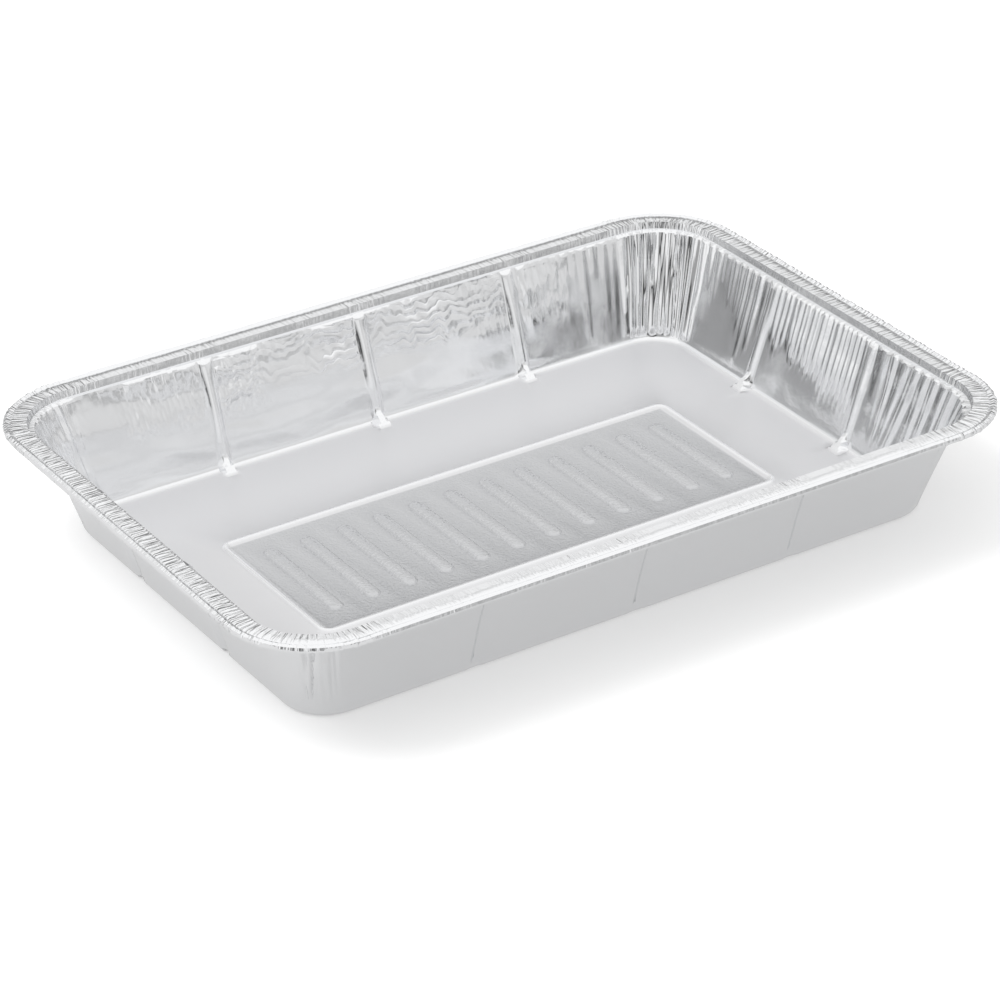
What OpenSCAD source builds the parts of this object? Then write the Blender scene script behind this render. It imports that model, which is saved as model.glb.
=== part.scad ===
// Foil drip pan pressed from one round-cornered sheet of aluminium foil.
// The sheet is described by closed loops round its middle surface, taken from the free edge under the
// rolled bead, over the rim and down the wall to the floor, then over the raised frame and ribs of the
// floor. Both skins lie half the foil's thickness from that surface, so the pan is one thin solid.

/* [Rim] */
// Length of the pan over the rolled bead
rim_length = 330; // [290:1:400]
// Width of the pan over the rolled bead
rim_width = 232; // [200:1:300]
// Corner radius of the rolled bead in plan
rim_corner_r = 36; // [31:1:42]
// Radius of the rolled bead
bead_r = 1.7; // [1.3:0.1:2.2]
// Height of the bead above the flange beside it
bead_proud = 0.6; // [0.4:0.1:1]
// Width of the flange between the bead and the step
flange_w = 6; // [4:0.1:8]
// Height of the step down from the flange to the ledge
step_h = 2.6; // [1.5:0.1:3.5]
// Width of the ledge between the step and the top of the wall
ledge_w = 1.9; // [1:0.1:3]

/* [Wall] */
// Height of the pan from the ground to the top of the bead
pan_height = 46; // [38:1:60]
// How far the foot of the wall lies inside the top of the wall
wall_inset = 14; // [9:0.5:17]
// Radius of the bend between the wall and the floor
foot_r = 4; // [2.5:0.5:5.5]
// Corner radius of the foot of the wall in plan
foot_corner_r = 17; // [13:1:21]

/* [Wall ribs and gathers] */
// Distance between neighbouring ribs of a long wall
long_rib_pitch = 70; // [50:1:80]
// Distance between the two ribs of a short wall
short_rib_pitch = 64; // [40:1:80]
// Width of a wall rib
rib_w = 6; // [4:0.5:8]
// Depth of a wall rib
rib_depth = 1.3; // [0.8:0.1:2]
// Number of pleats gathered into each corner
corner_pleats = 12; // [8:1:14]
// Depth of a corner pleat
pleat_depth = 1.3; // [0.6:0.1:1.6]
// Distance between neighbouring flutes of a short wall
flute_pitch = 5; // [4.6:0.1:7]
// Depth of a flute
flute_depth = 0.7; // [0.3:0.1:1]
// How far the flutes of a long wall reach from its corners
flute_reach = 24; // [10:1:30]

/* [Floor] */
// Length of the raised frame over its outer edges
frame_length = 207; // [190:1:230]
// Width of the raised frame over its outer edges
frame_width = 81; // [72:1:100]
// Outer corner radius of the raised frame
frame_corner_r = 6; // [5:0.5:9]
// Width of the frame's own bead
frame_bead_w = 4; // [3:0.1:4.8]
// Height of the frame's own bead
frame_bead_h = 1; // [0.6:0.1:1.5]
// Number of floor ribs inside the frame
floor_ribs = 12; // [8:2:14]
// Gap between the frame's bead and the ends of the floor ribs
floor_rib_gap = 10; // [5:0.5:15]
// Width of a floor rib
floor_rib_w = 6.4; // [4:0.2:8]
// Height of a floor rib
floor_rib_h = 0.9; // [0.5:0.1:1.3]

/* [Sheet] */
// Thickness of the foil
foil_t = 0.1; // [0.08:0.01:0.2]

/* [Hidden] */

half_t = foil_t / 2;
half_l = rim_length / 2;
half_w = rim_width / 2;

// Flange, ledge and top of the wall, each as an inset from the bead's outer edge and a height
step_lean = 0.6;
flange_z = pan_height - bead_proud;
flange_inset = 2 * bead_r + flange_w;
ledge_inset = flange_inset + step_lean;
shoulder_z = flange_z - step_h;
shoulder_inset = ledge_inset + ledge_w;
foot_inset = shoulder_inset + wall_inset;

// The wall leans by this angle from upright, and the foot's bend turns the rest of the way to the floor
wall_rise = shoulder_z - half_t;
wall_lean = atan2(wall_inset, wall_rise);
foot_turn = 90 - wall_lean;
foot_tangent = foot_r * tan(foot_turn / 2);

// The bead is rolled from the flange over the top and round to its free edge underneath
bead_mid_r = bead_r - half_t;
bead_z = pan_height - bead_r;
bead_join = 180 - asin((flange_z - bead_z) / bead_mid_r);
bead_end = -160;
bead_turns = concat(
    [for (share = [1, 0.75, 0.5, 0.25]) share * bead_end],
    [0, 45, 90, (90 + bead_join) / 2, bead_join]
);

// Ends of the straight sides of the rim and of the frame, as [x, y]
rim_ends = [half_l - rim_corner_r, half_w - rim_corner_r];
frame_ends = [frame_length / 2 - frame_corner_r, frame_width / 2 - frame_corner_r];
// Wall stations nearer than this to the middle of a side keep their place at every height
steady = [long_rib_pitch + rib_w / 2, (short_rib_pitch + rib_w) / 2];

// Floor ribs stand in equal cells between these ends
cells_half = frame_ends[0] - 1;
cell_l = 2 * cells_half / floor_ribs;
floor_rib_end = frame_width / 2 - frame_bead_w - floor_rib_gap - floor_rib_w / 2;
floor_rib_slope = floor_rib_w / 4;

// How much of a rib's depth shows at the four stations across it
RIB_SHAPE = [0, 0.75, 1, 0.75];
PLAIN = [0, 0, 0];
DEPTHS = [rib_depth, flute_depth, pleat_depth];
// Shares of the wall's height, with how much of each rib, flute and pleat depth shows there
FLUTED_ROWS = [
    [0.93, [1, 1, 1]],
    [0.62, [1, 0.7, 1]],
    [0.33, [1, 0, 0.8]]
];
RIBBED_ROW = [0.13, [1, 0, 0.45]];
// Shape of the frame's bead across its width, as shares of its width and height
FRAME_SHAPE = [[0, 0], [0.25, 0.75], [0.5, 1], [0.75, 0.75], [1, 0]];

// Facets of the rim's straight sides, and of a quarter turn of each kind of corner
RIM_SIDE_FACETS = [6, 4];
RIM_CORNER_FACETS = 12;
FRAME_CORNER_FACETS = 4;
FLOOR_RIB_CORNER_FACETS = 2;
// Positions round every outline run from 0 to this, one for each side and one for each corner
LAP = 8;

function mix(a, b, share) = a + (b - a) * share;
function unit(v) = v / norm(v);
function total(list, n) = n == 0 ? 0 : list[n - 1] + total(list, n - 1);

// Stations along a side or round a corner, each [place, [rib, flute, pleat]]
function plain(place) = [[place, PLAIN]];
function even(from, to, facets) = [for (k = [0 : facets - 1]) [mix(from, to, k / facets), PLAIN]];
function rib(middle, detail) =
    detail < 1 ? plain(middle - rib_w / 2)
    : [for (k = [0 : 3]) [middle + (k - 2) * rib_w / 4, [RIB_SHAPE[k], 0, 0]]];
function flutes(from, to, depth_from, depth_to, detail) =
    let (count = max(1, round((to - from) / flute_pitch)))
    detail < 2 ? plain(from)
    : [
        for (k = [0 : 2 * count - 1])
            let (share = k / (2 * count))
            [mix(from, to, share), [0, (k % 2) * mix(depth_from, depth_to, share), 0]]
    ];
function long_side(detail) =
    let (end = rim_ends[0], reach = rim_ends[0] - flute_reach)
    concat(
        flutes(-end, -reach, 1, 0.2, detail),
        plain(-reach),
        rib(-long_rib_pitch, detail),
        plain(-long_rib_pitch + rib_w / 2),
        rib(0, detail),
        plain(rib_w / 2),
        rib(long_rib_pitch, detail),
        plain(long_rib_pitch + rib_w / 2),
        flutes(reach, end, 0.2, 1, detail)
    );
function short_side(detail) =
    let (end = rim_ends[1], middle = short_rib_pitch / 2, edge = rib_w / 2)
    concat(
        flutes(-end, -middle - edge, 1, 1, detail),
        rib(-middle, detail),
        flutes(-middle + edge, middle - edge, 1, 1, detail),
        rib(middle, detail),
        flutes(middle + edge, end, 1, 1, detail)
    );
function pleated_corner() =
    [for (k = [0 : 2 * corner_pleats - 1]) [k / (2 * corner_pleats), [0, 0, k % 2]]];

// Turns a point of the near side by a quarter turn for each further side
function turned(leg, along, across) = [
    [along, -across],
    [across, along],
    [-along, across],
    [-across, -along]
][leg];

// All stations of an outline, each [position, direction outwards, corner centre, shape]
function outline(sides, corner, ends) = [
    for (leg = [0 : 3])
        let (along = ends[leg % 2], across = ends[1 - leg % 2], facing = 90 * leg - 90)
        each concat(
            [
                for (s = sides[leg % 2])
                    [2 * leg + (s[0] / along + 1) / 2, facing, turned(leg, s[0], across), s[1]]
            ],
            [
                for (s = corner)
                    [2 * leg + 1 + s[0], facing + 90 * s[0], turned(leg, along, across), s[1]]
            ]
        )
];

rim_stations = outline(
    [for (i = [0, 1]) even(-rim_ends[i], rim_ends[i], RIM_SIDE_FACETS[i])],
    even(0, 1, RIM_CORNER_FACETS),
    rim_ends
);
fluted_stations = outline([long_side(2), short_side(2)], pleated_corner(), rim_ends);
ribbed_stations = outline([long_side(1), short_side(1)], pleated_corner(), rim_ends);
foot_stations = outline([long_side(0), short_side(0)], even(0, 1, RIM_CORNER_FACETS), rim_ends);
cell_edges = [for (k = [0 : floor_ribs]) -cells_half + k * cell_l];
frame_stations = outline(
    [concat(plain(-frame_ends[0]), [for (x = cell_edges) [x, PLAIN]]), plain(-frame_ends[1])],
    even(0, 1, FRAME_CORNER_FACETS),
    frame_ends
);
floor_rib_stations = outline(
    [[], plain(-floor_rib_end)],
    even(0, 1, FLOOR_RIB_CORNER_FACETS),
    [0, floor_rib_end]
);

// Sections as [inset, height] points, each from the outside inwards
function bead_point(turn) = [bead_r - bead_mid_r * cos(turn), bead_z + bead_mid_r * sin(turn)];
function wall_point(share) = [mix(foot_inset, shoulder_inset, share), half_t + share * wall_rise];
function foot_point(turn) =
    [foot_inset + foot_tangent - foot_r * sin(turn), half_t + foot_r * (1 - cos(turn))];
rim_section = concat(
    [for (turn = bead_turns) bead_point(turn)],
    [[flange_inset, flange_z], [ledge_inset, shoulder_z]]
);
wall_section = concat([wall_point(1)], [for (row = FLUTED_ROWS) wall_point(row[0])]);
foot_section = [for (share = [1, 0.5, 0]) foot_point(foot_turn * share)];
body_section = concat(rim_section, wall_section, [wall_point(RIBBED_ROW[0])], foot_section);
frame_section = [for (p = FRAME_SHAPE) [p[0] * frame_bead_w, half_t + p[1] * frame_bead_h]];
floor_rib_section = [[0, half_t], [floor_rib_slope, half_t + floor_rib_h]];

// Offset from a section's middle line to its inner skin at point k
function skin_offset(section, k, start) =
    let (
        last = len(section) - 1,
        before = k == 0 ? start : unit(section[k] - section[k - 1]),
        after = k == last ? [1, 0] : unit(section[k + 1] - section[k]),
        n1 = [-before[1], before[0]],
        n2 = [-after[1], after[0]]
    )
    half_t * (n1 + n2) / (1 + n1 * n2);

// Corner radius of the body's sheet at an inset
function body_corner_r(inset) =
    inset <= shoulder_inset ? rim_corner_r - inset
    : inset <= foot_inset
        ? mix(rim_corner_r - shoulder_inset, foot_corner_r, (inset - shoulder_inset) / wall_inset)
    : foot_corner_r - (inset - foot_inset);

// Loops of the middle surface, each [stations, section point, skin offset, corner radius, ends, shows]
function body_loop(k, stations, shows) =
    let (p = body_section[k], r = body_corner_r(p[0]))
    [
        stations,
        p,
        skin_offset(body_section, k, unit(body_section[1] - body_section[0])),
        r,
        [half_l - p[0] - r, half_w - p[0] - r],
        shows
    ];
rim_count = len(rim_section);
body_loops = concat(
    [for (k = [0 : rim_count - 1]) body_loop(k, rim_stations, PLAIN)],
    [body_loop(rim_count, fluted_stations, PLAIN)],
    [for (k = [0 : 2]) body_loop(rim_count + 1 + k, fluted_stations, FLUTED_ROWS[k][1])],
    [body_loop(rim_count + 4, ribbed_stations, RIBBED_ROW[1])],
    [for (k = [5 : 7]) body_loop(rim_count + k, foot_stations, PLAIN)]
);
frame_loops = [
    for (k = [0 : len(frame_section) - 1])
        [
            frame_stations,
            frame_section[k],
            skin_offset(frame_section, k, [1, 0]),
            frame_corner_r - frame_section[k][0],
            frame_ends,
            PLAIN
        ]
];
function shifted(stations, x) = [for (s = stations) [s[0], s[1], s[2] + [x, 0], s[3]]];
floor_rib_loops = [
    for (c = [0 : floor_ribs - 1])
        for (k = [0, 1])
            [
                shifted(floor_rib_stations, (cell_edges[c] + cell_edges[c + 1]) / 2),
                floor_rib_section[k],
                skin_offset(floor_rib_section, k, [1, 0]),
                floor_rib_w / 2 - floor_rib_section[k][0],
                rim_ends,
                PLAIN
            ]
];
loops = concat(body_loops, frame_loops, floor_rib_loops);

// Moves a corner centre from its place on the rim to its place on a loop with other ends
function settled(place, from, to, keep) =
    abs(place) <= keep ? place : sign(place) * mix(keep, to, (abs(place) - keep) / (from - keep));
function loop_point(station, loop, side) =
    let (
        on_frame = loop[4] == frame_ends,
        centre = on_frame ? station[2]
            : [for (i = [0, 1]) settled(station[2][i], rim_ends[i], loop[4][i], steady[i])],
        shape = station[3],
        push = [for (i = [0 : 2]) shape[i] * loop[5][i]] * DEPTHS,
        r = loop[3] - side * loop[2][0] - push
    )
    [
        centre[0] + r * cos(station[1]),
        centre[1] + r * sin(station[1]),
        loop[1][1] + side * loop[2][1]
    ];
INNER = 1;
OUTER = -1;
function skin(side) = [for (loop = loops) each [for (s = loop[0]) loop_point(s, loop, side)]];

counts = [for (loop = loops) len(loop[0])];
starts = [for (n = [0 : len(loops)]) total(counts, n)];
skin_count = starts[len(loops)];
function ids(n) = [for (i = [0 : counts[n] - 1]) starts[n] + i];
function positions(n) = [for (s = loops[n][0]) s[0]];
function middles(list) =
    [for (i = [0 : len(list) - 1]) (list[i] + (i + 1 < len(list) ? list[i + 1] : list[0] + LAP)) / 2];

// Triangles between an outer and an inner loop, joined in the order of their positions
function stitched(outer_ids, outer_at, inner_ids, inner_at) =
    let (
        a = middles(outer_at),
        b = middles(inner_at),
        na = len(a),
        nb = len(b)
    )
    concat(
        [
            for (i = [0 : na - 1])
                let (j = len([for (m = b) if (m < a[i]) m]))
                [outer_ids[i], inner_ids[j % nb], outer_ids[(i + 1) % na]]
        ],
        [
            for (j = [0 : nb - 1])
                let (i = len([for (m = a) if (m <= b[j]) m]))
                [inner_ids[j], inner_ids[(j + 1) % nb], outer_ids[i % na]]
        ]
    );
function stitched_loops(n, m) = stitched(ids(n), positions(n), ids(m), positions(m));
function reversed(list) = [for (i = [len(list) - 1 : -1 : 0]) list[i]];

// The last frame loop bounds the cells of the floor ribs and the two plain ends of the floor panel
first_frame = len(body_loops);
last_frame = first_frame + len(frame_loops) - 1;
near_edge = starts[last_frame] + 1;
far_edge = near_edge + floor_ribs + 2 * FRAME_CORNER_FACETS + 3;
function far_id(k) = far_edge + floor_ribs - k;
function cell_ids(k) = [near_edge + k, near_edge + k + 1, far_id(k + 1), far_id(k)];
CELL_AT = [0, 2, 4, 6];
right_end = [for (i = [near_edge + floor_ribs : far_id(floor_ribs)]) i];
left_end = concat([for (i = [far_id(0) : starts[last_frame + 1] - 1]) i], [near_edge - 1, near_edge]);

inner_faces = concat(
    [for (n = [0 : last_frame - 1]) each stitched_loops(n, n + 1)],
    [
        for (c = [0 : floor_ribs - 1])
            let (foot = last_frame + 1 + 2 * c, top = foot + 1)
            each concat(
                stitched(cell_ids(c), CELL_AT, ids(foot), positions(foot)),
                stitched_loops(foot, top),
                [reversed(ids(top))]
            )
    ],
    [reversed(right_end), reversed(left_end)]
);
outer_faces = [for (face = inner_faces) reversed([for (i = face) i + skin_count])];
free_edge_faces = [
    for (i = [0 : counts[0] - 1])
        let (next = (i + 1) % counts[0])
        each [[i, next, next + skin_count], [i, next + skin_count, i + skin_count]]
];

module pan() {
    color([0.8, 0.81, 0.82])
        polyhedron(
            points = concat(skin(INNER), skin(OUTER)),
            faces = concat(inner_faces, outer_faces, free_edge_faces),
            convexity = 12
        );
}

pan();
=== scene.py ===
"""Foil drip pan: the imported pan's one sheet, rebuilt as a finer mesh with the uneven folds of pressed foil.

The sheet is laid out in loops round the pan, from the rolled bead's free edge over the rim, down the wall and
onto the floor. Each loop is a station list and a section point, and each fold is a push along the section's
normal. Lengths named *_MM are millimetres, as in part.scad; the mesh itself is in metres.
"""

import math

import bpy
import numpy as np
from mathutils import Matrix, Vector


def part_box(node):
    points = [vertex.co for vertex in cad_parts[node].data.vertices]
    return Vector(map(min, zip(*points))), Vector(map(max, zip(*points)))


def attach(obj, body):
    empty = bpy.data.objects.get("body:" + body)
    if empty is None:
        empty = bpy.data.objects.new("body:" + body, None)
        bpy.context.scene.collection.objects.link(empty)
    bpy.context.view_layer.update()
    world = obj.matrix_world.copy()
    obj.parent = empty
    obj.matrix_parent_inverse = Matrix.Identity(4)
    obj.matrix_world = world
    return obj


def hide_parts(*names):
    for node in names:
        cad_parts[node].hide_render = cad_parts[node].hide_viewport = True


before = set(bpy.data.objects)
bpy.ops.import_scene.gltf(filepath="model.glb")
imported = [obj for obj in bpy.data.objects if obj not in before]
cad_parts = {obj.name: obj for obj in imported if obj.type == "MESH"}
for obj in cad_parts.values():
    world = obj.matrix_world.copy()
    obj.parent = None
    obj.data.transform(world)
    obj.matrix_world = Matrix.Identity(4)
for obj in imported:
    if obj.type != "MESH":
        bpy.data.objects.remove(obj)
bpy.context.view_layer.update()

MM = 0.001

# Sizes in millimetres, as in part.scad apart from STEP_LEAN and FOOT_R, which were fitted to the highlights.
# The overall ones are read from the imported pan.
LOW_MM, HIGH_MM = (np.array([corner[i] for i in range(3)]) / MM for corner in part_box("pan"))
HALF_MM = (HIGH_MM[:2] - LOW_MM[:2]) / 2
HEIGHT_MM = HIGH_MM[2]
RIM_CORNER_R = 36
BEAD_R = 1.7
BEAD_PROUD = 0.6
FLANGE_W = 6
STEP_H = 2.6
STEP_LEAN = 0.8
LEDGE_W = 1.9
WALL_INSET = 14
FOOT_R = 3
FOOT_CORNER_R = 17
LONG_RIB_PITCH = 70
SHORT_RIB_PITCH = 64
RIB_W = 6
RIB_DEPTH = 1.3
FRAME_MM = np.array([207, 81]) / 2
FRAME_CORNER_R = 6
FRAME_BEAD_W = 4
FRAME_BEAD_H = 1
FLOOR_RIBS = 12
FLOOR_RIB_GAP = 10
FLOOR_RIB_W = 6.4
FLOOR_RIB_H = 0.9
FOIL_T = 0.1

HALF_T = FOIL_T / 2
FLANGE_Z = HEIGHT_MM - BEAD_PROUD
FLANGE_INSET = 2 * BEAD_R + FLANGE_W
SHOULDER_Z = FLANGE_Z - STEP_H
LEDGE_INSET = FLANGE_INSET + STEP_LEAN
SHOULDER_INSET = LEDGE_INSET + LEDGE_W
FOOT_INSET = SHOULDER_INSET + WALL_INSET
WALL_RISE = SHOULDER_Z - HALF_T
RIM_ENDS = HALF_MM - RIM_CORNER_R
FRAME_ENDS = FRAME_MM - FRAME_CORNER_R
STEADY = np.array([LONG_RIB_PITCH + RIB_W / 2, (SHORT_RIB_PITCH + RIB_W) / 2])
# Arc length round the pan is counted on an outline with corners of this radius
ARC_R = 30
LAP_MM = 4 * RIM_ENDS.sum() + 2 * math.pi * ARC_R

# Seeds of the random folds
WALL_SEED = 19
RIM_SEED = 7
WRINKLE_SEED = 5
CRIMP_SEED = 3
FLOOR_SEED = 100


# ---- Stations round the pan ----

# Steps in which a side is measured, how far from a rib its stations are closer, in rib widths, and how many
# times closer they are there
SIDE_STEPS = 4000
CLOSE_REACH = 0.7
CLOSE_TIMES = 3


def side_places(along, count, ribs):
    """Places of a side's stations, from its start to just before its end, closer at its ribs."""
    line = np.linspace(-along, along, SIDE_STEPS + 1)
    weight = np.ones(len(line))
    for rib in ribs:
        weight[np.abs(line - rib) < CLOSE_REACH * RIB_W] = CLOSE_TIMES
    total = np.concatenate([[0], np.cumsum(weight[:-1])])
    return np.interp(np.arange(count) / count * total[-1], total, line)


def stations(side_counts, corner_counts, ends=RIM_ENDS, ribs=((), ())):
    """Arc position, outward angle and corner centre of each station of an outline, from the near side on."""
    arc, turn, centre = [], [], []
    start = 0.0
    quarter = np.array([[0, -1], [1, 0]])
    for leg, (side_n, corner_n) in enumerate(zip(side_counts, corner_counts)):
        along, across = ends[leg % 2], ends[1 - leg % 2]
        facing = math.radians(90 * leg - 90)
        spin = np.linalg.matrix_power(quarter, leg)
        place = side_places(along, side_n, ribs[leg % 2])
        centre.append(np.stack([place, np.full(side_n, -across)], 1) @ spin.T)
        turn.append(np.full(side_n, facing))
        arc.append(start + place + along)
        start += 2 * along
        share = np.arange(corner_n) / corner_n
        centre.append(np.tile(spin @ [along, -across], (corner_n, 1)))
        turn.append(facing + share * math.pi / 2)
        arc.append(start + share * ARC_R * math.pi / 2)
        start += ARC_R * math.pi / 2
    arc, turn, centre = (np.concatenate(part) for part in (arc, turn, centre))
    return {"arc": arc, "turn": turn, "centre": centre, "ends": ends}


# Where the ribs stand along a long side and along a short one
WALL_RIBS = ((-LONG_RIB_PITCH, 0, LONG_RIB_PITCH), (-SHORT_RIB_PITCH / 2, SHORT_RIB_PITCH / 2))
# Station counts of the near, right, far and left sides, then of the corner that follows each
RIM = stations((190, 310, 170, 190), (60, 70, 60, 70))
WALL = stations((90, 290, 280, 76), (62, 120, 44, 62), ribs=WALL_RIBS)
FOOT = stations((80, 56, 80, 56), (26, 26, 26, 26), ribs=WALL_RIBS)
FRAME_STEPS = 6
FRAME = stations((FLOOR_RIBS, FRAME_STEPS, FLOOR_RIBS, FRAME_STEPS), (FRAME_STEPS,) * 4, FRAME_ENDS)


def leg_place(ring):
    """Each station's side (0 near, 1 right, 2 far, 3 left, -1 at a corner) and its place along that side."""
    leg = np.round((ring["turn"] + math.pi / 2) / (math.pi / 2)).astype(int)
    on_side = np.abs(ring["turn"] + math.pi / 2 - leg * math.pi / 2) < 1e-6
    place = np.where(leg % 2 == 0, ring["centre"][:, 0], ring["centre"][:, 1])
    place = np.where((leg == 2) | (leg == 3), -place, place)
    return np.where(on_side, leg % 4, -1), place


# ---- Noise and folds, as functions of the arc position and the share of the wall's height ----

def smooth(low, high, x):
    """0 up to low and 1 from high on, with a soft rise between them."""
    t = np.clip((x - low) / (high - low), 0, 1)
    return t * t * (3 - 2 * t)


def wander(x, waves, rng):
    """A smooth closed wave round the pan, from -1 to 1, with the given numbers of waves a lap."""
    total = np.zeros_like(x)
    for n in waves:
        total += np.sin(2 * math.pi * (n * x / LAP_MM + rng.random()))
    return total / len(waves)


def stretch(arc, low, high, edge=5):
    """1 between two places round the pan, fading to 0 over an edge outside them."""
    return smooth(low - edge, low, arc) * smooth(high + edge, high, arc)


def fold_edges(narrowest, widest, rng):
    """Edges of folds of uneven width all round the pan."""
    widths = rng.uniform(narrowest, widest, int(LAP_MM / narrowest))
    edges = np.cumsum(widths)
    edges = edges[edges < LAP_MM]
    return np.concatenate([[0], edges * LAP_MM / edges[-1]])


def folds(x, edges, rng, crease=0.8, low=0.55):
    """Height of uneven folds at x: rounded backs between sharp creases, each fold of its own height."""
    x = x % LAP_MM
    i = np.clip(np.searchsorted(edges, x, side="right") - 1, 0, len(edges) - 2)
    share = (x - edges[i]) / (edges[i + 1] - edges[i])
    skew = rng.uniform(0.7, 1.4, len(edges))[i]
    height = rng.uniform(low, 1, len(edges))[i]
    return height * np.sin(math.pi * np.clip(share, 0, 1) ** skew) ** crease


def hanging_folds(x, high, edges, rng, shortest, longest):
    """Folds that hang from the shoulder, each narrowing to a point at its own share of the wall's height."""
    x = x % LAP_MM
    i = np.clip(np.searchsorted(edges, x, side="right") - 1, 0, len(edges) - 2)
    share = (x - edges[i]) / (edges[i + 1] - edges[i])
    end = 1 - rng.uniform(shortest, longest, len(edges))[i]
    height = rng.uniform(0.3, 1, len(edges))[i]
    left = np.clip((high - end) / (1 - end), 0, 1)
    return height * left**0.6 * np.sin(math.pi * np.clip(share, 0, 1)) ** (1 + 3 * (1 - left))


def crumple(x, y, size, rng, sheets=7):
    """Facets of crumpled foil, from -1 to 1: creased waves that cross each other at all angles."""
    total = np.zeros(np.broadcast(x, y).shape)
    for _ in range(sheets):
        angle = rng.uniform(0, math.pi)
        length = size * rng.uniform(0.6, 1.6)
        bend = 0.25 * np.sin((x * math.sin(angle) - y * math.cos(angle)) / (length * 1.3) + rng.uniform(0, 6))
        wave = (x * math.cos(angle) + y * math.sin(angle)) / length + bend + rng.random()
        total += 4 * np.abs(wave - np.floor(wave + 0.5)) - 1
    return total / sheets


# ---- The section, from the bead's free edge inwards, as [inset, height] points ----

def bead_points(turns):
    radius = BEAD_R - HALF_T
    turns = np.radians(turns)
    return np.stack([BEAD_R - radius * np.cos(turns), HEIGHT_MM - BEAD_R + radius * np.sin(turns)], 1)


def line_points(start, end, shares):
    return np.array(start) + np.outer(shares, np.subtract(end, start))


def foot_points(steps):
    lean = math.atan2(WALL_INSET, WALL_RISE)
    turn = (math.pi / 2 - lean) * np.linspace(1, 0, steps)
    tangent = FOOT_R * math.tan((math.pi / 2 - lean) / 2)
    return np.stack([FOOT_INSET + tangent - FOOT_R * np.sin(turn), HALF_T + FOOT_R * (1 - np.cos(turn))], 1)


JOIN_TURN = 180 - math.degrees(math.asin((BEAD_R - BEAD_PROUD) / (BEAD_R - HALF_T)))
BEAD_TURNS = np.array([-155, -90, -40, 0, 40, 90, JOIN_TURN + 12])
GROOVE = 0.5
WALL_ROWS = 30
FOOT_ROWS = 5
# Above 1, the wall's rows are closer near the shoulder
WALL_ROW_POWER = 1.2
FLOOR_INSETS = (5.5, 14, 24)
rim_section = np.concatenate([
    bead_points(BEAD_TURNS),
    line_points([2 * BEAD_R + GROOVE, FLANGE_Z], [FLANGE_INSET, FLANGE_Z], [0, 0.5, 1]),
    line_points([FLANGE_INSET, FLANGE_Z], [LEDGE_INSET, SHOULDER_Z], [0.5, 1]),
])
wall_foot = foot_points(FOOT_ROWS)[0]
wall_shares = (np.arange(WALL_ROWS) / WALL_ROWS) ** WALL_ROW_POWER
wall_section = line_points([SHOULDER_INSET, SHOULDER_Z], wall_foot, wall_shares)
foot_section = foot_points(FOOT_ROWS)
floor_section = np.array([[FOOT_INSET + inset, HALF_T] for inset in FLOOR_INSETS])
section = np.concatenate([rim_section, wall_section, foot_section, floor_section])


def section_normals(points, end):
    """Unit normals to the inner side of a section, which goes on in the given direction after its end."""
    steps = np.diff(points, axis=0)
    steps /= np.linalg.norm(steps, axis=1)[:, None]
    mean = np.concatenate([steps[:1], steps]) + np.concatenate([steps, [end]])
    mean /= np.linalg.norm(mean, axis=1)[:, None]
    return np.stack([-mean[:, 1], mean[:, 0]], 1)


# The smallest corner radius of the floor's loops
LEAST_R = 6


def corner_radius(inset):
    top_r = RIM_CORNER_R - SHOULDER_INSET
    share = (inset - SHOULDER_INSET) / WALL_INSET
    wall_r = top_r + (FOOT_CORNER_R - top_r) * share
    floor_r = max(FOOT_CORNER_R - (inset - FOOT_INSET), LEAST_R)
    return RIM_CORNER_R - inset if share <= 0 else wall_r if share <= 1 else floor_r


def ring_points(ring, point, normal, push):
    """Points of one loop in millimetres, moved by push along the section's normal."""
    inset, height = point
    r = corner_radius(inset)
    ends = HALF_MM - inset - r
    place = ring["centre"]
    size = np.abs(place)
    moved = STEADY + (size - STEADY) / (RIM_ENDS - STEADY) * (ends - STEADY)
    centre = np.where(size <= STEADY, place, np.sign(place) * moved)
    reach = r - push * normal[0]
    return np.stack([
        centre[:, 0] + reach * np.cos(ring["turn"]),
        centre[:, 1] + reach * np.sin(ring["turn"]),
        height + push * normal[1],
    ], 1)


# ---- How far each kind of fold pushes the sheet ----

LONG_MM, SHORT_MM = 2 * RIM_ENDS
CORNER_MM = ARC_R * math.pi / 2
NEAR_RIGHT = LONG_MM + CORNER_MM / 2
FAR_RIGHT = NEAR_RIGHT + SHORT_MM + CORNER_MM
FAR_LEFT = FAR_RIGHT + LONG_MM + CORNER_MM
NEAR_LEFT = FAR_LEFT + SHORT_MM + CORNER_MM
CORNERS = (NEAR_RIGHT, FAR_RIGHT, FAR_LEFT, NEAR_LEFT)
RIGHT_MID, FAR_MID, LEFT_MID = ((a + b) / 2 for a, b in zip(CORNERS, CORNERS[1:]))


def from_corner(arc):
    """Distance round the pan to the middle of the nearest corner."""
    gaps = [np.abs((arc - c + LAP_MM / 2) % LAP_MM - LAP_MM / 2) for c in CORNERS]
    return np.minimum.reduce(gaps)


def rib_places(ring):
    """Distance of each station from the nearest rib's middle line."""
    leg, place = leg_place(ring)
    gap = np.full(len(leg), LAP_MM)
    for side in range(4):
        for rib in WALL_RIBS[side % 2]:
            gap = np.where(leg == side, np.minimum(gap, np.abs(place - rib)), gap)
    return gap


# Share of the ribs' depth that is left at the shoulder
RIB_TOP = 0.75


def rib_push(ring, high):
    """The upright ribs, tallest at the foot and pinched at the top."""
    across = rib_places(ring) / (RIB_W / 2)
    return RIB_DEPTH * np.clip(1 - across**2, 0, 1) * (RIB_TOP + (1 - RIB_TOP) * smooth(1, 0.5, high))


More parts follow.
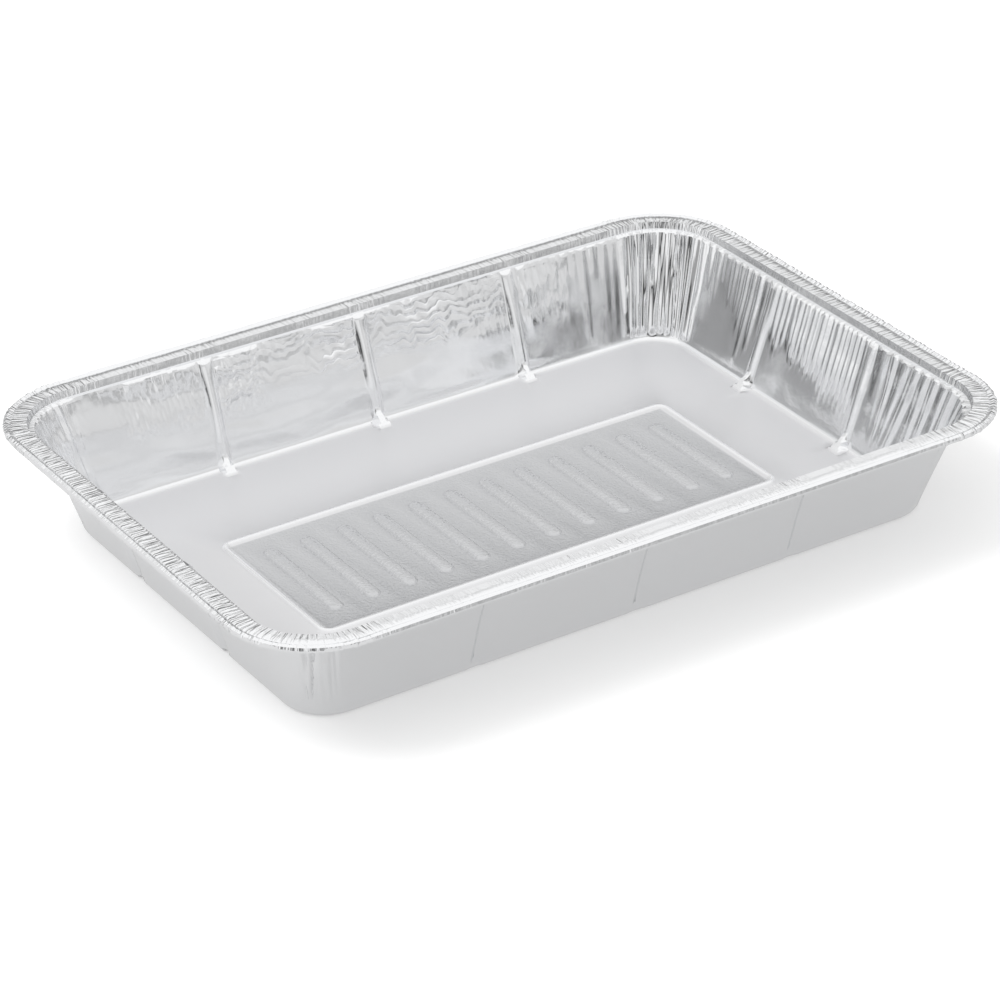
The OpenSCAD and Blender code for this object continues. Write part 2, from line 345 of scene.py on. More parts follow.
# Each rib's foot ends in a flat heel, a triangle that widens from a tip on the wall to its edge on the floor
HEEL_UP = 5.3
HEEL_OUT = 5.5
HEEL_TIP_HALF = 0.4
HEEL_HALF = 3.4
HEEL_EDGE = 0.9
# How full the heels are on the near, right, far and left sides
HEEL_SIDES = (0.08, 1, 1, 0.3)
# Share of the heel's length at each row of the bend
HEEL_SHARES = (0.36, 0.48, 0.6, 0.72, 0.84)


def set_heels(ring, points, share):
    """Moves the points at the ribs' feet onto their heels, at this share of the way from tip to floor."""
    lean = math.atan2(WALL_INSET, WALL_RISE)
    tip = [
        FOOT_INSET - HEEL_UP * math.sin(lean) + RIB_DEPTH * math.cos(lean),
        HALF_T + HEEL_UP * math.cos(lean) + RIB_DEPTH * math.sin(lean),
    ]
    chord = line_points(tip, [FOOT_INSET + HEEL_OUT, HALF_T], [share])[0]
    half = HEEL_TIP_HALF + (HEEL_HALF - HEEL_TIP_HALF) * share
    fullness = np.take(HEEL_SIDES, leg_place(ring)[0], mode="clip")
    inside = (smooth(half + HEEL_EDGE, half, rib_places(ring)) * fullness)[:, None]
    return points + (ring_points(ring, chord, (0, 0), np.zeros(len(points))) - points) * inside


# How far the walls are pushed inwards halfway up
BULGE = 0.5
# Place round the pan at the top, lean towards the foot, and depth
CREASES = ((1008, -8, 0.8), (1015, -2, 0.4), (1004, -7, 0.3), (996, 3, 0.25))
# Where each corner's pleats start and end, and their depth
PLEATS = (
    (NEAR_RIGHT - 20, NEAR_RIGHT + 22, 1.3),
    (FAR_RIGHT - 19, FAR_RIGHT + 22, 1.9),
    (FAR_LEFT - 20, FAR_LEFT + 22, 0.9),
    (NEAR_LEFT - 8, NEAR_LEFT + 16, 0.9),
)
TIGHT_DEPTH = 1.1
LOOSE_DEPTH = 0.95
LEFT_DEPTH = 0.45
# How much of the loose folds is left on top of a rib
ON_RIB = 0.2


def corner_pleats(arc, lean, high, rng):
    """Folds from the shoulder and folds from the foot, which run past each other."""
    down = hanging_folds(arc + lean, high, fold_edges(3.4, 6.4, rng), rng, 0.5, 1.4)
    up = hanging_folds(arc - 0.7 * lean, 1 - high, fold_edges(3.6, 7, rng), rng, 0.5, 1.1)
    fine = folds(arc - 0.6 * lean, fold_edges(1.6, 2.8, rng), rng) * smooth(0.1, 0.6, high)
    pleat = down + 0.6 * up + 0.08 * fine
    return sum(depth * stretch(arc, start, end, 7) * pleat for start, end, depth in PLEATS)


def wall_flutes(arc, lean, high, rng):
    """Tight flutes between the right wall's ribs, longest towards the near one, and looser ones beside."""
    tight = folds(arc + 0.2 * lean, fold_edges(2.6, 3.5, rng), rng, 0.75, 0.75)
    shorter = 0.25 * smooth(RIGHT_MID + 30, RIGHT_MID - 30, arc)
    flute_end = 0.52 - shorter + 0.07 * wander(arc, (61, 83, 97), rng)
    shown = smooth(flute_end - 0.12, flute_end + 0.2, high)
    flutes = TIGHT_DEPTH * stretch(arc, RIGHT_MID - 28, RIGHT_MID + 28) * tight * shown
    wide = folds(arc + lean, fold_edges(5, 8, rng), rng, 1)
    loose_folds = hanging_folds(arc + 1.6 * lean, high, fold_edges(4, 9, rng), rng, 0.45, 1.2)
    flutes += LOOSE_DEPTH * stretch(arc, RIGHT_MID - 74, RIGHT_MID - 37) * loose_folds
    flutes += LEFT_DEPTH * stretch(arc, LEFT_MID - 74, LEFT_MID + 74) * wide * smooth(0.3, 0.8, high)
    return flutes


def corner_hangs(arc, lean, high, rng):
    """Tapered folds that hang beside the far right corner."""
    hanging = hanging_folds(arc + 0.5 * lean, high, fold_edges(3.4, 6.5, rng), rng, 0.25, 0.95)
    hangs = 0.9 * stretch(arc, RIGHT_MID + 38, FAR_RIGHT - 24) * hanging
    return hangs + 0.6 * stretch(arc, FAR_RIGHT + 26, FAR_MID - 76) * hanging


def shoulder_nicks(arc, high, rng):
    """Short nicks under the shoulder of the long walls."""
    nicks = hanging_folds(arc, high, fold_edges(1.8, 5, rng), rng, 0.06, 0.28)
    return nicks * (0.4 * stretch(arc, FAR_MID - 70, FAR_LEFT - 22) + 0.2 * stretch(arc, 0, LONG_MM))


def buckles(ring, high, rng):
    """Slow buckles under the level wrinkles and crumples, and soft dents in the whole wall."""
    arc = ring["arc"]
    depth_mm = (1 - high) * WALL_RISE
    small = crumple(arc, depth_mm, 8, rng)
    large = crumple(arc, depth_mm * 1.5, 30, rng, 4)
    crumples = 0.35 * small * np.maximum(wrinkle_share(ring, high), crumple_share(ring, high))
    far = 1.6 * stretch(arc, FAR_MID - 76, FAR_LEFT, 12)
    right = 0.5 * stretch(arc, RIGHT_MID - 74, RIGHT_MID + 50)
    dents = 0.3 * large * (0.2 + far + right + 0.4 * stretch(arc, 0, LONG_MM))
    return crumples, dents


def corner_creases(arc, high):
    """Single creases of the near left corner, which lean as they go down."""
    gaps = ((np.abs(arc - top - lean_mm * (1 - high)), depth) for top, lean_mm, depth in CREASES)
    return sum(depth * smooth(1.4, 0, gap) for gap, depth in gaps) * smooth(0.05, 0.2, high)


def wall_push(ring, high):
    """All folds of the wall at one height, high being 0 at the foot and 1 at the shoulder."""
    rng = np.random.default_rng(WALL_SEED)
    arc = ring["arc"]
    lean = 2.6 * (1 - high) * wander(arc, (23, 37, 51), rng)
    pleats = corner_pleats(arc, lean, high, rng)
    flutes = wall_flutes(arc, lean, high, rng)
    hangs = corner_hangs(arc, lean, high, rng)
    nicks = shoulder_nicks(arc, high, rng)
    crumples, dents = buckles(ring, high, rng)
    creases = corner_creases(arc, high)

    ribs = rib_push(ring, high)
    clear = 1 - np.clip(ribs / RIB_DEPTH, 0, 1)
    loose = (pleats + flutes + hangs + nicks + creases + crumples + dents) * (ON_RIB + (1 - ON_RIB) * clear)
    right = stretch(arc, RIGHT_MID - 90, RIGHT_MID + 90, 20)
    bulge = BULGE * math.sin(math.pi * high) * (1 - 1.8 * right)
    return bulge + ribs * smooth(1, 0.97, high) + loose * smooth(1, 0.985, high) * smooth(0, 0.08, high)


# How much of the crimps each row of the bead, the flange and the step shows
RIM_SHOWS = (0.1, 0.3, 0.7, 1, 1, 0.8, 0.25, 0.7, 1, 0.6, 0.35, 0.1)


def rim_push(ring, k):
    """Crimps across the flange and the bead: fine on the sides, deep and uneven round the corners."""
    rng = np.random.default_rng(RIM_SEED)
    arc = ring["arc"]
    on_bead = k < len(BEAD_TURNS)
    crimp = folds(arc, fold_edges(1.5, 3, rng), rng, 0.7, 0.2)
    patches = smooth(-0.6, 0.6, wander(arc, (13, 29, 41), rng))
    corner = smooth(48, 22, from_corner(arc))
    left = stretch(arc, LEFT_MID - 90, LEFT_MID + 90, 20)
    right = stretch(arc, RIGHT_MID - 90, RIGHT_MID + 90, 20)
    if on_bead:
        depth = 0.1 + 0.12 * patches + np.maximum(0.4 * right + 0.05 * left, 0.4 * corner)
    else:
        depth = 0.08 + 0.08 * patches + np.maximum(0.38 * left + 0.05 * right, 0.35 * corner)
    # The bead is only dented, so that it never passes its round outline; the flange ripples both ways
    return depth * RIM_SHOWS[k] * (crimp - (1 if on_bead else 0.5))


def beside_ribs(ring):
    """0 on a rib and 1 beside it."""
    return smooth(RIB_W / 2 - 0.5, RIB_W / 2 + 1.5, rib_places(ring))


def wrinkle_share(ring, high):
    """How strongly level wrinkles show: in the upper part of the far wall's two middle panels."""
    arc = ring["arc"]
    rng = np.random.default_rng(WRINKLE_SEED)
    reach = 0.5 + 0.12 * wander(arc, (13, 17), rng)
    patches = 0.4 + 0.6 * smooth(-0.4, 0.4, wander(arc, (11, 17, 27), rng))
    shown = patches * smooth(reach, reach + 0.12, high) * smooth(1, 0.96, high)
    return stretch(arc, FAR_MID - 66, FAR_MID + 66) * shown * beside_ribs(ring)


def crumple_share(ring, high):
    """How strongly crumples show: beside the far wall's ribs, most of all beside the left one."""
    arc = ring["arc"]
    share = stretch(arc, FAR_MID + 48, FAR_MID + 66) + 0.8 * stretch(arc, FAR_MID + 74, FAR_MID + 104, 12)
    share += 0.5 * stretch(arc, FAR_MID - 66, FAR_MID - 52) + 0.4 * stretch(arc, FAR_LEFT - 24, FAR_LEFT + 24)
    share += 0.6 * stretch(arc, FAR_MID - 96, FAR_MID - 74) + 0.25 * stretch(arc, 5, LONG_MM - 5)
    return share * smooth(0.35, 0.55, high) * smooth(1, 0.96, high) * beside_ribs(ring)


def crimp_share(ring, right_share, left_share):
    """How strongly the finest crimps show: fully at corners, and as given on the right and left sides."""
    arc = ring["arc"]
    right = right_share * stretch(arc, RIGHT_MID - 90, RIGHT_MID + 90, 20)
    left = left_share * stretch(arc, LEFT_MID - 90, LEFT_MID + 90, 20)
    patches = 0.25 + 0.25 * wander(arc, (13, 29, 41), np.random.default_rng(CRIMP_SEED))
    share = np.maximum(patches, right + left)
    return np.maximum(share, smooth(48, 22, from_corner(arc)))


FLOOR_WAVE = 0.12


def floor_push(ring, k):
    """Slow waves of the floor, which give it its soft light and dark patches."""
    rng = np.random.default_rng(FLOOR_SEED + k)
    return FLOOR_WAVE * (0.5 + 0.5 * wander(ring["arc"], (2, 3, 5, 7), rng))


# ---- Putting the sheet together ----

def columns(rows, values):
    """One column for each value, whether it is a number or an array of that many rows."""
    return np.stack([np.broadcast_to(value, rows) for value in values], 1)


NO_FINE_FOLDS = (0.0, 0.0, 0.0)


class Sheet:
    """Points of the sheet's middle surface in millimetres, with the faces that join its loops.

    Each point also has its place along the sheet, as arc position and section length, and the shares of its
    fine folds.
    """

    def __init__(self):
        self.points = []
        self.places = []
        self.shares = []
        self.faces = []
        self.count = 0

    def add(self, points, arc=0.0, length=0.0, shares=NO_FINE_FOLDS):
        ids = np.arange(self.count, self.count + len(points))
        self.points.append(points)
        self.places.append(columns(len(points), (arc, length)))
        self.shares.append(columns(len(points), shares))
        self.count += len(points)
        return ids

    def join(self, outer, outer_at, inner, inner_at):
        """Joins two loops, the outer one first. Equal ones get squares and others triangles."""
        if len(outer) == len(inner):
            self.faces += np.stack([outer, np.roll(outer, -1), np.roll(inner, -1), inner], 1).tolist()
            return
        a = (outer_at + np.append(outer_at[1:], outer_at[0] + 1)) / 2
        b = (inner_at + np.append(inner_at[1:], inner_at[0] + 1)) / 2
        apex = inner[np.searchsorted(b, a, side="left") % len(inner)]
        self.faces += np.stack([outer, np.roll(outer, -1), apex], 1).tolist()
        apex = outer[np.searchsorted(a, b, side="right") % len(outer)]
        self.faces += np.stack([apex, np.roll(inner, -1), inner], 1).tolist()

    def cap(self, ids):
        self.faces.append(list(ids))


def lap_shares(ring):
    """Position of each station as a share of the way round, the same for every outline."""
    leg_ends = np.cumsum([0] + [2 * ring["ends"][0], CORNER_MM, 2 * ring["ends"][1], CORNER_MM] * 2)
    part = np.clip(np.searchsorted(leg_ends, ring["arc"] + 1e-6, side="right") - 1, 0, 7)
    return (part + (ring["arc"] - leg_ends[part]) / (leg_ends[part + 1] - leg_ends[part])) / 8


# How much of the crimps' bump runs on below the shoulder
PUCKER_SHARE = 0.2


def loop_folds(k, point):
    """Outline, push, share of the heels' length and shares of the fine folds, for the section's loop k."""
    wall_start = len(rim_section)
    foot_start = wall_start + len(wall_section)
    floor_start = foot_start + len(foot_section)
    if k < wall_start:
        crimps = crimp_share(RIM, 1, 0.3) if k < len(BEAD_TURNS) else crimp_share(RIM, 0.3, 1.4)
        return RIM, rim_push(RIM, k), 0, (crimps, 0.0, 0.0)
    if k < foot_start:
        high = 1 - wall_shares[k - wall_start]
        heel = HEEL_SHARES[0] * (1 - (point[1] - wall_foot[1]) / (HEEL_UP - wall_foot[1]))
        puckers = PUCKER_SHARE * smooth(0.7, 1, high) * crimp_share(WALL, 1, 1)
        shares = (puckers, wrinkle_share(WALL, high), crumple_share(WALL, high))
        return WALL, wall_push(WALL, high), heel, shares
    level = np.zeros(len(FOOT["arc"]))
    if k < floor_start:
        return FOOT, level, HEEL_SHARES[k - foot_start], NO_FINE_FOLDS
    # The first loop past the bend stays level
    return FOOT, level if k == floor_start else floor_push(FOOT, k), 0, NO_FINE_FOLDS


def body_loops(sheet):
    """The loops from the bead's free edge to the floor. Returns the last one."""
    normals = section_normals(section, [1, 0])
    lengths = np.concatenate([[0], np.cumsum(np.linalg.norm(np.diff(section, axis=0), axis=1))])
    last_ids, last_at = None, None
    for k, point in enumerate(section):
        ring, push, heel, shares = loop_folds(k, point)
        points = ring_points(ring, point, normals[k], push)
        if heel > 0:
            points = set_heels(ring, points, heel)
        ids = sheet.add(points, ring["arc"], lengths[k], shares)
        at = lap_shares(ring)
        if last_ids is not None:
            sheet.join(last_ids, last_at, ids, at)
        last_ids, last_at = ids, at
    return last_ids, last_at


# The raised frame's section, as shares of its width and height
FRAME_SHAPE = ((0, 0), (0.15, 0.3), (0.32, 0.82), (0.5, 1), (0.68, 0.82), (0.85, 0.3), (1, 0))


def frame_loops(sheet, outer_ids, outer_at):
    """The raised frame of the floor. Returns its inner loop."""
    at = lap_shares(FRAME)
    for share, lift in FRAME_SHAPE:
        r = FRAME_CORNER_R - share * FRAME_BEAD_W
        points = np.stack([
            FRAME["centre"][:, 0] + r * np.cos(FRAME["turn"]),
            FRAME["centre"][:, 1] + r * np.sin(FRAME["turn"]),
            np.full(len(at), HALF_T + lift * FRAME_BEAD_H),
        ], 1)
        ids = sheet.add(points)
        sheet.join(outer_ids, outer_at, ids, at)
        outer_ids, outer_at = ids, at
    return outer_ids


def slot_ring(middle, half_straight, radius, height, facets):
    """A round-ended slot outline along Y, and the position of each of its points round it."""
    turns, ends, at = [], [], []
    shares = np.arange(facets) / facets
    for leg in range(4):
        if leg % 2:
            turns.append(90 * leg - 90)
            ends.append(-1 if leg == 1 else 1)
            at.append(2 * leg)
        turns += (90 * leg - 90 + 90 * shares).tolist()
        ends += [1 if leg in (1, 2) else -1] * facets
        at += (2 * leg + 1 + shares).tolist()
    turns = np.radians(turns)
    points = np.stack([
        middle + radius * np.cos(turns),
        np.array(ends) * half_straight + radius * np.sin(turns),
        np.full(len(turns), height),
    ], 1)
    return points, np.array(at) / 8


# The raised ribs' section, as inset and share of their height, and the facets of a quarter of their ends
FLOOR_RIB_SHAPE = ((0, 0), (0.15, 0.15), (0.8, 0.85), (1.2, 1))
SLOT_FACETS = 6
# The ribs' cells stop short of the frame's straight ends by this
CELL_MARGIN = 1


def floor_ribs(sheet, inner):
    """Fills the raised frame: one rib in each cell, and a plain patch at each end."""
    far_start = FLOOR_RIBS + 3 * FRAME_STEPS
    cell = 2 * (FRAME_ENDS[0] - CELL_MARGIN) / FLOOR_RIBS
    half_straight = FRAME_MM[1] - FRAME_BEAD_W - FLOOR_RIB_GAP - FLOOR_RIB_W / 2
    for k in range(FLOOR_RIBS):
        far = far_start + FLOOR_RIBS - k
        outer = inner[[k, k + 1, far - 1, far]]
        outer_at = np.array([0, 0.25, 0.5, 0.75])
        middle = (k + 0.5 - FLOOR_RIBS / 2) * cell
        for inset, lift in FLOOR_RIB_SHAPE:
            height = HALF_T + lift * FLOOR_RIB_H
            points, at = slot_ring(middle, half_straight, FLOOR_RIB_W / 2 - inset, height, SLOT_FACETS)
            ids = sheet.add(points)
            sheet.join(outer, outer_at, ids, at)
            outer, outer_at = ids, at
        sheet.cap(outer)
    sheet.cap(inner[FLOOR_RIBS:far_start + 1])
    sheet.cap(np.append(inner[far_start + FLOOR_RIBS:], inner[0]))


# The point attributes that say how strongly each kind of fine fold shows
FINE_FOLDS = ("crimp", "wrinkle", "crumple")


def store_places(mesh, places, shares):
    """Keeps each point's place along the sheet as the UV map "sheet", and its shares under their names."""
    corners = np.empty(len(mesh.loops), dtype=np.int32)
    mesh.loops.foreach_get("vertex_index", corners)
    starts = np.empty(len(mesh.polygons), dtype=np.int32)
    mesh.polygons.foreach_get("loop_start", starts)
    sizes = np.diff(np.append(starts, len(corners)))
    uv = places[corners]
    # A face over the lap's start counts on past its end
    top = np.repeat(np.maximum.reduceat(uv[:, 0], starts), sizes)
    uv[:, 0] += np.where(top - uv[:, 0] > LAP_MM / 2, LAP_MM, 0)
    mesh.uv_layers.new(name="sheet").data.foreach_set("uv", uv.astype(np.float32).ravel())
    for name, share in zip(FINE_FOLDS, shares.T):
        mesh.attributes.new(name, "FLOAT", "POINT").data.foreach_set("value", share.astype(np.float32))


# Edges sharper than this, in degrees, are shaded as creases
CREASE_ANGLE = 32


def make_pan(material):
    sheet = Sheet()
    ids, at = body_loops(sheet)
    floor_ribs(sheet, frame_loops(sheet, ids, at))
    mesh = bpy.data.meshes.new("foil_pan")
    mesh.from_pydata((np.concatenate(sheet.points) * MM).tolist(), [], sheet.faces)
    store_places(mesh, np.concatenate(sheet.places), np.concatenate(sheet.shares))
    mesh.polygons.foreach_set("use_smooth", [True] * len(mesh.polygons))
    mesh.set_sharp_from_angle(angle=math.radians(CREASE_ANGLE))
    mesh.materials.append(material)
    pan = bpy.data.objects.new("foil_pan", mesh)
    bpy.context.scene.collection.objects.link(pan)
    skin = pan.modifiers.new("foil", "SOLIDIFY")
    skin.thickness = FOIL_T * MM
    skin.offset = 0
    return pan


# ---- Materials ----

class Nodes:
    """Short calls for a material's or the world's node tree."""

    def __init__(self, owner):
        owner.use_nodes = True
        self.tree = owner.node_tree
        self.tree.nodes.clear()

    def node(self, kind, **settings):
        made = self.tree.nodes.new(kind)
        for name, value in settings.items():
            setattr(made, name, value)
        return made

    def link(self, source, target):
        self.tree.links.new(source, target)

    def math(self, operation, a, b=0.0):
        made = self.node("ShaderNodeMath", operation=operation)
        for socket, value in zip(made.inputs, (a, b)):
            if isinstance(value, (int, float)):
                socket.default_value = value
            else:
                self.link(value, socket)
        return made.outputs[0]

    def mix(self, first, second, share):
        made = self.node("ShaderNodeMixRGB")
        for name, value in (("Color1", first), ("Color2", second), ("Fac", share)):
            if isinstance(value, tuple):
                made.inputs[name].default_value = value
            else:
                self.link(value, made.inputs[name])
        return made.outputs[0]

    def noise(self, vector, scale, detail):
        made = self.node("ShaderNodeTexNoise")
        made.inputs["Scale"].default_value = scale
        made.inputs["Detail"].default_value = detail
        self.link(vector, made.inputs["Vector"])
        return made.outputs["Fac"]

    def ramp(self, value, low, high, to_low=0.0, to_high=1.0):
        made = self.node("ShaderNodeMapRange", interpolation_type="SMOOTHSTEP")
        for name, number in (("From Min", low), ("From Max", high), ("To Min", to_low), ("To Max", to_high)):
            made.inputs[name].default_value = number
        self.link(value, made.inputs["Value"])
        return made.outputs["Result"]


def on_sheet(n, along, down):
    """A texture place that follows the sheet, with one unit for the given millimetres along and down it."""
    stretched = n.node("ShaderNodeMapping")
    stretched.inputs["Scale"].default_value = (1 / along, 1 / down, 1)
    n.link(n.node("ShaderNodeUVMap", uv_map="sheet").outputs[0], stretched.inputs["Vector"])
    return stretched.outputs[0]


BUMP_MM = 0.25
# Depths of crimps, wrinkles and crumples, of the pebbles, and of rolling marks and puckers, in BUMP_MM
FINE_DEPTHS = (2.6, 0.85, 1.1)
PEBBLE_DEPTH = -0.9
MARK_DEPTH = 0.05
PUCKER_DEPTH = 0.5
# Widths along the pan and runs down the sheet of the finest folds, and how far wrinkles bend up and down
CRIMP_MM = 1.1
CRIMP_RUN_MM = 9
WRINKLE_MM = 3.8
WRINKLE_BEND = 3.2
BEND_MM = 7
BEND_RUN_MM = 16
CRUMPLE_MM = 2.1
CRUMPLE_RUN_MM = 6


def fine_folds(n):
    """Heights of the folds that are too fine for the mesh, each as strong as the point's share of it."""
    crimps = n.noise(on_sheet(n, CRIMP_MM, CRIMP_RUN_MM), 1, 1.5)

    # Level lines a few millimetres apart, bent up and down by noise
    split = n.node("ShaderNodeSeparateXYZ")
    n.link(on_sheet(n, 1, WRINKLE_MM), split.inputs[0])
    bent = n.math("MULTIPLY", n.noise(on_sheet(n, BEND_MM, BEND_RUN_MM), 1, 1), WRINKLE_BEND)
    lines = n.math("PINGPONG", n.math("ADD", split.outputs[1], bent), 0.5)
    wrinkles = n.math("POWER", n.math("MULTIPLY", lines, 2), 0.6)

    facets = n.node("ShaderNodeTexVoronoi", feature="F1")
    facets.inputs["Scale"].default_value = 1
    n.link(on_sheet(n, CRUMPLE_MM, CRUMPLE_RUN_MM), facets.inputs["Vector"])

    total = 0.0
    for name, height, depth in zip(FINE_FOLDS, (crimps, wrinkles, facets.outputs["Distance"]), FINE_DEPTHS):
        share = n.node("ShaderNodeAttribute", attribute_name=name).outputs["Fac"]
        total = n.math("ADD", n.math("MULTIPLY", n.math("MULTIPLY", height, share), depth), total)
    return total


FOIL_COLOUR = (0.87, 0.875, 0.885)
# Painted shade: the floor's foil gets a greyer colour than the walls' foil, to darken it as the light does
FLOOR_COLOUR_PAINTED_SHADE = (0.76, 0.76, 0.77)
# Painted shade: the panel inside the frame gets a still greyer colour, for the shade in its pebbling
PANEL_COLOUR_PAINTED_SHADE = (0.61, 0.615, 0.625)
WALL_ROUGH = 0.14
FLOOR_ROUGH = 0.38
PANEL_ROUGHER = 0.06
PEBBLE_MM = 0.9
MARKS_A_METRE = 900
PUCKERS_A_METRE = 90


def foil_material():
    """Bright rolled aluminium, glossy on the walls, satin on the floor, pebbled inside the raised frame, with
    painted shade as greyer colours on the floor and inside the frame.
    """
    material = bpy.data.materials.new("foil")
    n = Nodes(material)
    place = n.node("ShaderNodeTexCoord").outputs["Object"]
    split = n.node("ShaderNodeSeparateXYZ")
    n.link(place, split.inputs[0])
    size = [n.math("ABSOLUTE", split.outputs[i]) for i in (0, 1)]
    panel_half = (FRAME_MM - FRAME_BEAD_W) * MM
    in_panel = n.math(
        "MULTIPLY",
        n.ramp(size[0], panel_half[0] - MM, panel_half[0], 1, 0),
        n.ramp(size[1], panel_half[1] - MM, panel_half[1], 1, 0),
    )
    in_panel = n.math("MULTIPLY", in_panel, n.ramp(split.outputs[2], 1.5 * MM, 4 * MM, 1, 0))
    low = n.ramp(split.outputs[2], 0.3 * MM, 1.2 * MM, 1, 0)

    shader = n.node("ShaderNodeBsdfPrincipled")
    # The colour carries painted shade: greyer on the floor and greyer still inside the frame
    colour = n.mix(n.mix((*FOIL_COLOUR, 1), (*FLOOR_COLOUR_PAINTED_SHADE, 1), low), (*PANEL_COLOUR_PAINTED_SHADE, 1), in_panel)
    n.link(colour, shader.inputs["Base Color"])
    shader.inputs["Metallic"].default_value = 1
    rough = n.math("ADD", n.math("MULTIPLY", low, FLOOR_ROUGH - WALL_ROUGH), WALL_ROUGH)
    rough = n.math("ADD", rough, n.math("MULTIPLY", in_panel, PANEL_ROUGHER))
    n.link(rough, shader.inputs["Roughness"])

    # Pebbled finish inside the frame, and fine rolling marks and puckers everywhere
    pebbles = n.node("ShaderNodeTexVoronoi", feature="SMOOTH_F1")
    pebbles.inputs["Scale"].default_value = 1 / (PEBBLE_MM * MM)
    n.link(place, pebbles.inputs["Vector"])
    pebble_height = n.math("MULTIPLY", pebbles.outputs["Distance"], in_panel)
    marks = n.math("MULTIPLY", n.noise(place, MARKS_A_METRE, 3), MARK_DEPTH)
    puckers = n.math("MULTIPLY", n.noise(place, PUCKERS_A_METRE, 3), PUCKER_DEPTH)
    height = n.math("ADD", n.math("MULTIPLY", pebble_height, PEBBLE_DEPTH), n.math("ADD", marks, puckers))
    height = n.math("ADD", height, fine_folds(n))
    bump = n.node("ShaderNodeBump")
    bump.inputs["Strength"].default_value = 1
    bump.inputs["Distance"].default_value = BUMP_MM * MM
    n.link(height, bump.inputs["Height"])
    n.link(bump.outputs[0], shader.inputs["Normal"])
    out = n.node("ShaderNodeOutputMaterial")
    n.link(shader.outputs[0], out.inputs["Surface"])
    return material


# The ground's diffuse white, and the plain white that the camera sees on top of it
GROUND = 0.7
GROUND_GLOW = 0.34
# What a mirrored ground holds back of its shaded white, and the plain white that it has instead
GROUND_HELD = 0.4
GROUND_MIRRORED = 0.44


def floor_material():
    """White ground: diffuse, so that it keeps the pan's shadow, with some plain white for the camera."""
    material = bpy.data.materials.new("ground")
    n = Nodes(material)
    path = n.node("ShaderNodeLightPath")
    diffuse = n.node("ShaderNodeBsdfDiffuse")
    held = n.math("MULTIPLY", path.outputs["Is Glossy Ray"], GROUND_HELD)
    n.link(n.math("SUBTRACT", GROUND, held), diffuse.inputs["Color"])
    glow = n.node("ShaderNodeEmission")
    shown = n.math("MULTIPLY", path.outputs["Is Camera Ray"], GROUND_GLOW)
    mirrored = n.math("MULTIPLY", path.outputs["Is Glossy Ray"], GROUND_MIRRORED)
    n.link(n.math("ADD", shown, mirrored), glow.inputs["Strength"])
    both = n.node("ShaderNodeAddShader")
    n.link(diffuse.outputs[0], both.inputs[0])
    n.link(glow.outputs[0], both.inputs[1])
    out = n.node("ShaderNodeOutputMaterial")
    n.link(both.outputs[0], out.inputs["Surface"])
    return material


# ---- Ground, world, lamps and camera ----

# The camera that was fitted to the photograph
CAMERA_AT = Vector((-0.7104, -1.1077, 0.7367))
CAMERA_AIM = Vector((-0.01435, -0.02101, 0.02))
CAMERA_ROLL = math.radians(-0.9)
CAMERA_LENS = 141.9

LAMP_AT = (-1.6, 1, 2.6)
LAMP_SIZE = 1.4
LAMP_WATTS = 43
GROUND_HALF = 4

# Rises of the sky's strength, low down and overhead: sines of the heights and strengths at both ends
HORIZON = (0.03, 0.13, 0.36, 0.82)
OVERHEAD = (0.38, 0.52, 0, 0.26)
# Parts of the studio: turn from the camera's own side, half angles where they are full and where they end, in
# degrees, the sines of their lower and upper heights, and strength
WINDOWS = ((-57, 14, 24, -0.1, 0.5, 1.1), (32, 10, 19, -0.1, 0.3, 1.1))
SHADES = (
    (0, 18, 78, -0.1, 0.5, 0.8),
    (-15, 10, 22, -0.1, 0.5, 0.6),
    (0, 5, 10, -0.1, 0.5, 0.12),
    (180, 35, 75, -0.1, 0.33, 0.4),
    (180, 45, 85, 0.52, 0.64, 0.7),
)


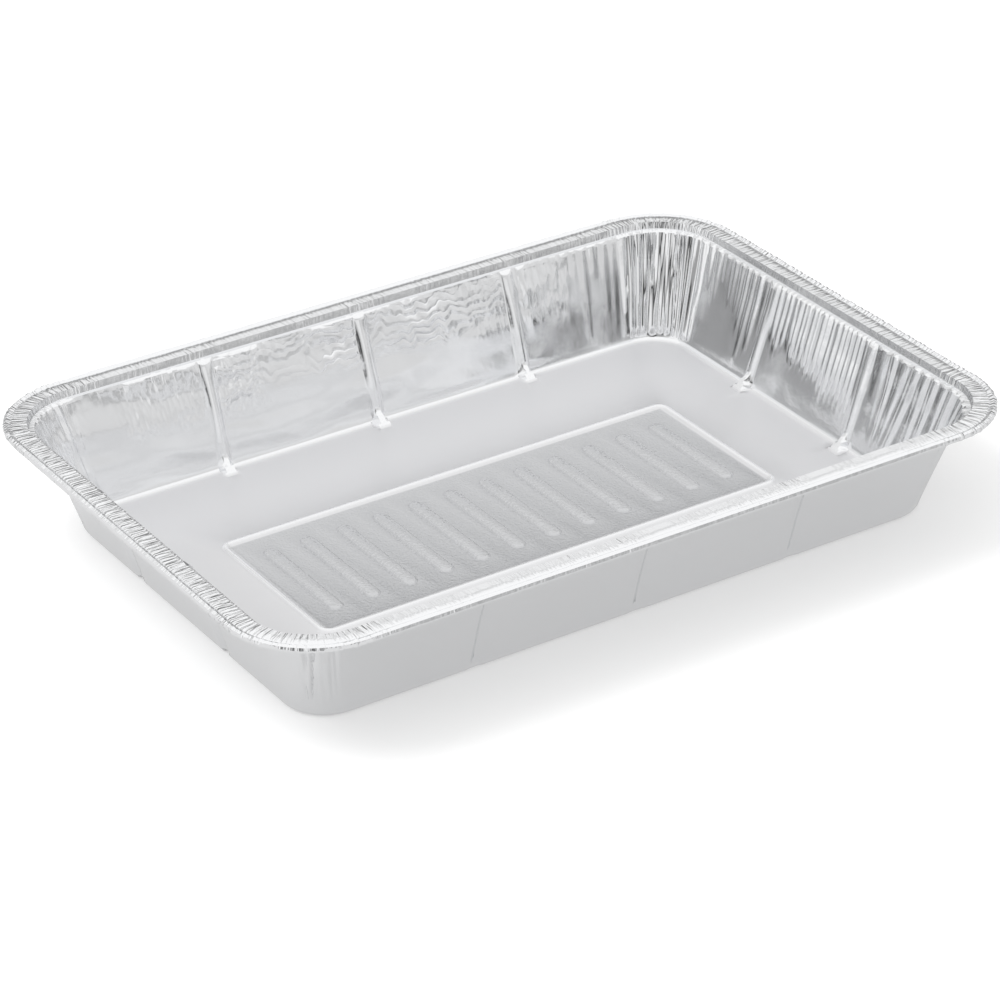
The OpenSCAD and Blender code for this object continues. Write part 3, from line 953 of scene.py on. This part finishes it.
def make_world():
    """A white studio, greyer near the ground, with bright windows, and a dark doorway behind the camera."""
    world = bpy.data.worlds.new("studio")
    bpy.context.scene.world = world
    n = Nodes(world)
    way = n.node("ShaderNodeTexCoord").outputs["Generated"]
    split = n.node("ShaderNodeSeparateXYZ")
    n.link(way, split.inputs[0])
    sky = n.math("ADD", n.ramp(split.outputs[2], *HORIZON), n.ramp(split.outputs[2], *OVERHEAD))

    # The direction turned level, to measure how far round the room it is from the camera
    level = n.node("ShaderNodeVectorMath", operation="MULTIPLY")
    n.link(way, level.inputs[0])
    level.inputs[1].default_value = (1, 1, 0)
    unit = n.node("ShaderNodeVectorMath", operation="NORMALIZE")
    n.link(level.outputs[0], unit.inputs[0])
    toward = ((CAMERA_AT - CAMERA_AIM) * Vector((1, 1, 0))).normalized()

    def area(turn, full, edge, bottom, top):
        """1 in a part of the room, a turn away from the camera, and 0 beyond its edge, under or over it."""
        near = n.node("ShaderNodeVectorMath", operation="DOT_PRODUCT")
        n.link(unit.outputs[0], near.inputs[0])
        near.inputs[1].default_value = Matrix.Rotation(math.radians(turn), 3, "Z") @ toward
        low, high = (math.cos(math.radians(half)) for half in (edge, full))
        beside = n.ramp(near.outputs["Value"], low, high)
        over = n.ramp(split.outputs[2], bottom - 0.02, bottom + 0.02)
        under = n.ramp(split.outputs[2], top - 0.05, top + 0.05, 1, 0)
        return n.math("MULTIPLY", beside, n.math("MULTIPLY", over, under))

    for *place, strength in WINDOWS:
        sky = n.math("MAXIMUM", sky, n.math("MULTIPLY", area(*place), strength))
    for *place, strength in SHADES:
        left = n.math("SUBTRACT", 1, n.math("MULTIPLY", area(*place), 1 - strength))
        sky = n.math("MULTIPLY", sky, left)
    camera_ray = n.node("ShaderNodeLightPath").outputs["Is Camera Ray"]
    strength = n.math("MAXIMUM", sky, camera_ray)
    back = n.node("ShaderNodeBackground")
    back.inputs["Color"].default_value = (1, 1, 1, 1)
    n.link(strength, back.inputs["Strength"])
    out = n.node("ShaderNodeOutputWorld")
    n.link(back.outputs[0], out.inputs["Surface"])


def make_lamp():
    """A square lamp to the left and behind, aimed at the pan."""
    data = bpy.data.lights.new("key_lamp", "AREA")
    data.shape = "RECTANGLE"
    data.size, data.size_y = LAMP_SIZE, LAMP_SIZE
    data.energy = LAMP_WATTS
    lamp = bpy.data.objects.new("key_lamp", data)
    lamp.location = LAMP_AT
    # Its mirror image would clip the foil to white in views from above
    lamp.visible_glossy = False
    lamp.rotation_euler = (-Vector(LAMP_AT)).to_track_quat("-Z", "Y").to_euler()
    bpy.context.scene.collection.objects.link(lamp)


def make_ground():
    corners = [(x * GROUND_HALF, y * GROUND_HALF, 0) for x, y in ((-1, -1), (1, -1), (1, 1), (-1, 1))]
    mesh = bpy.data.meshes.new("ground")
    mesh.from_pydata(corners, [], [(0, 1, 2, 3)])
    mesh.materials.append(floor_material())
    ground = bpy.data.objects.new("ground", mesh)
    bpy.context.scene.collection.objects.link(ground)


def make_camera():
    data = bpy.data.cameras.new("camera")
    data.lens = CAMERA_LENS
    camera = bpy.data.objects.new("camera", data)
    forward = (CAMERA_AIM - CAMERA_AT).normalized()
    right = forward.cross(Vector((0, 0, 1))).normalized()
    up = right.cross(forward)
    c, s = math.cos(CAMERA_ROLL), math.sin(CAMERA_ROLL)
    right, up = right * c + up * s, up * c - right * s
    camera.matrix_world = Matrix.Translation(CAMERA_AT) @ Matrix((right, up, -forward)).transposed().to_4x4()
    bpy.context.scene.collection.objects.link(camera)
    bpy.context.scene.camera = camera


pan = make_pan(foil_material())
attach(pan, "root")
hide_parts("pan")

make_ground()
make_world()
make_lamp()
make_camera()
bpy.context.scene.view_settings.view_transform = "Standard"
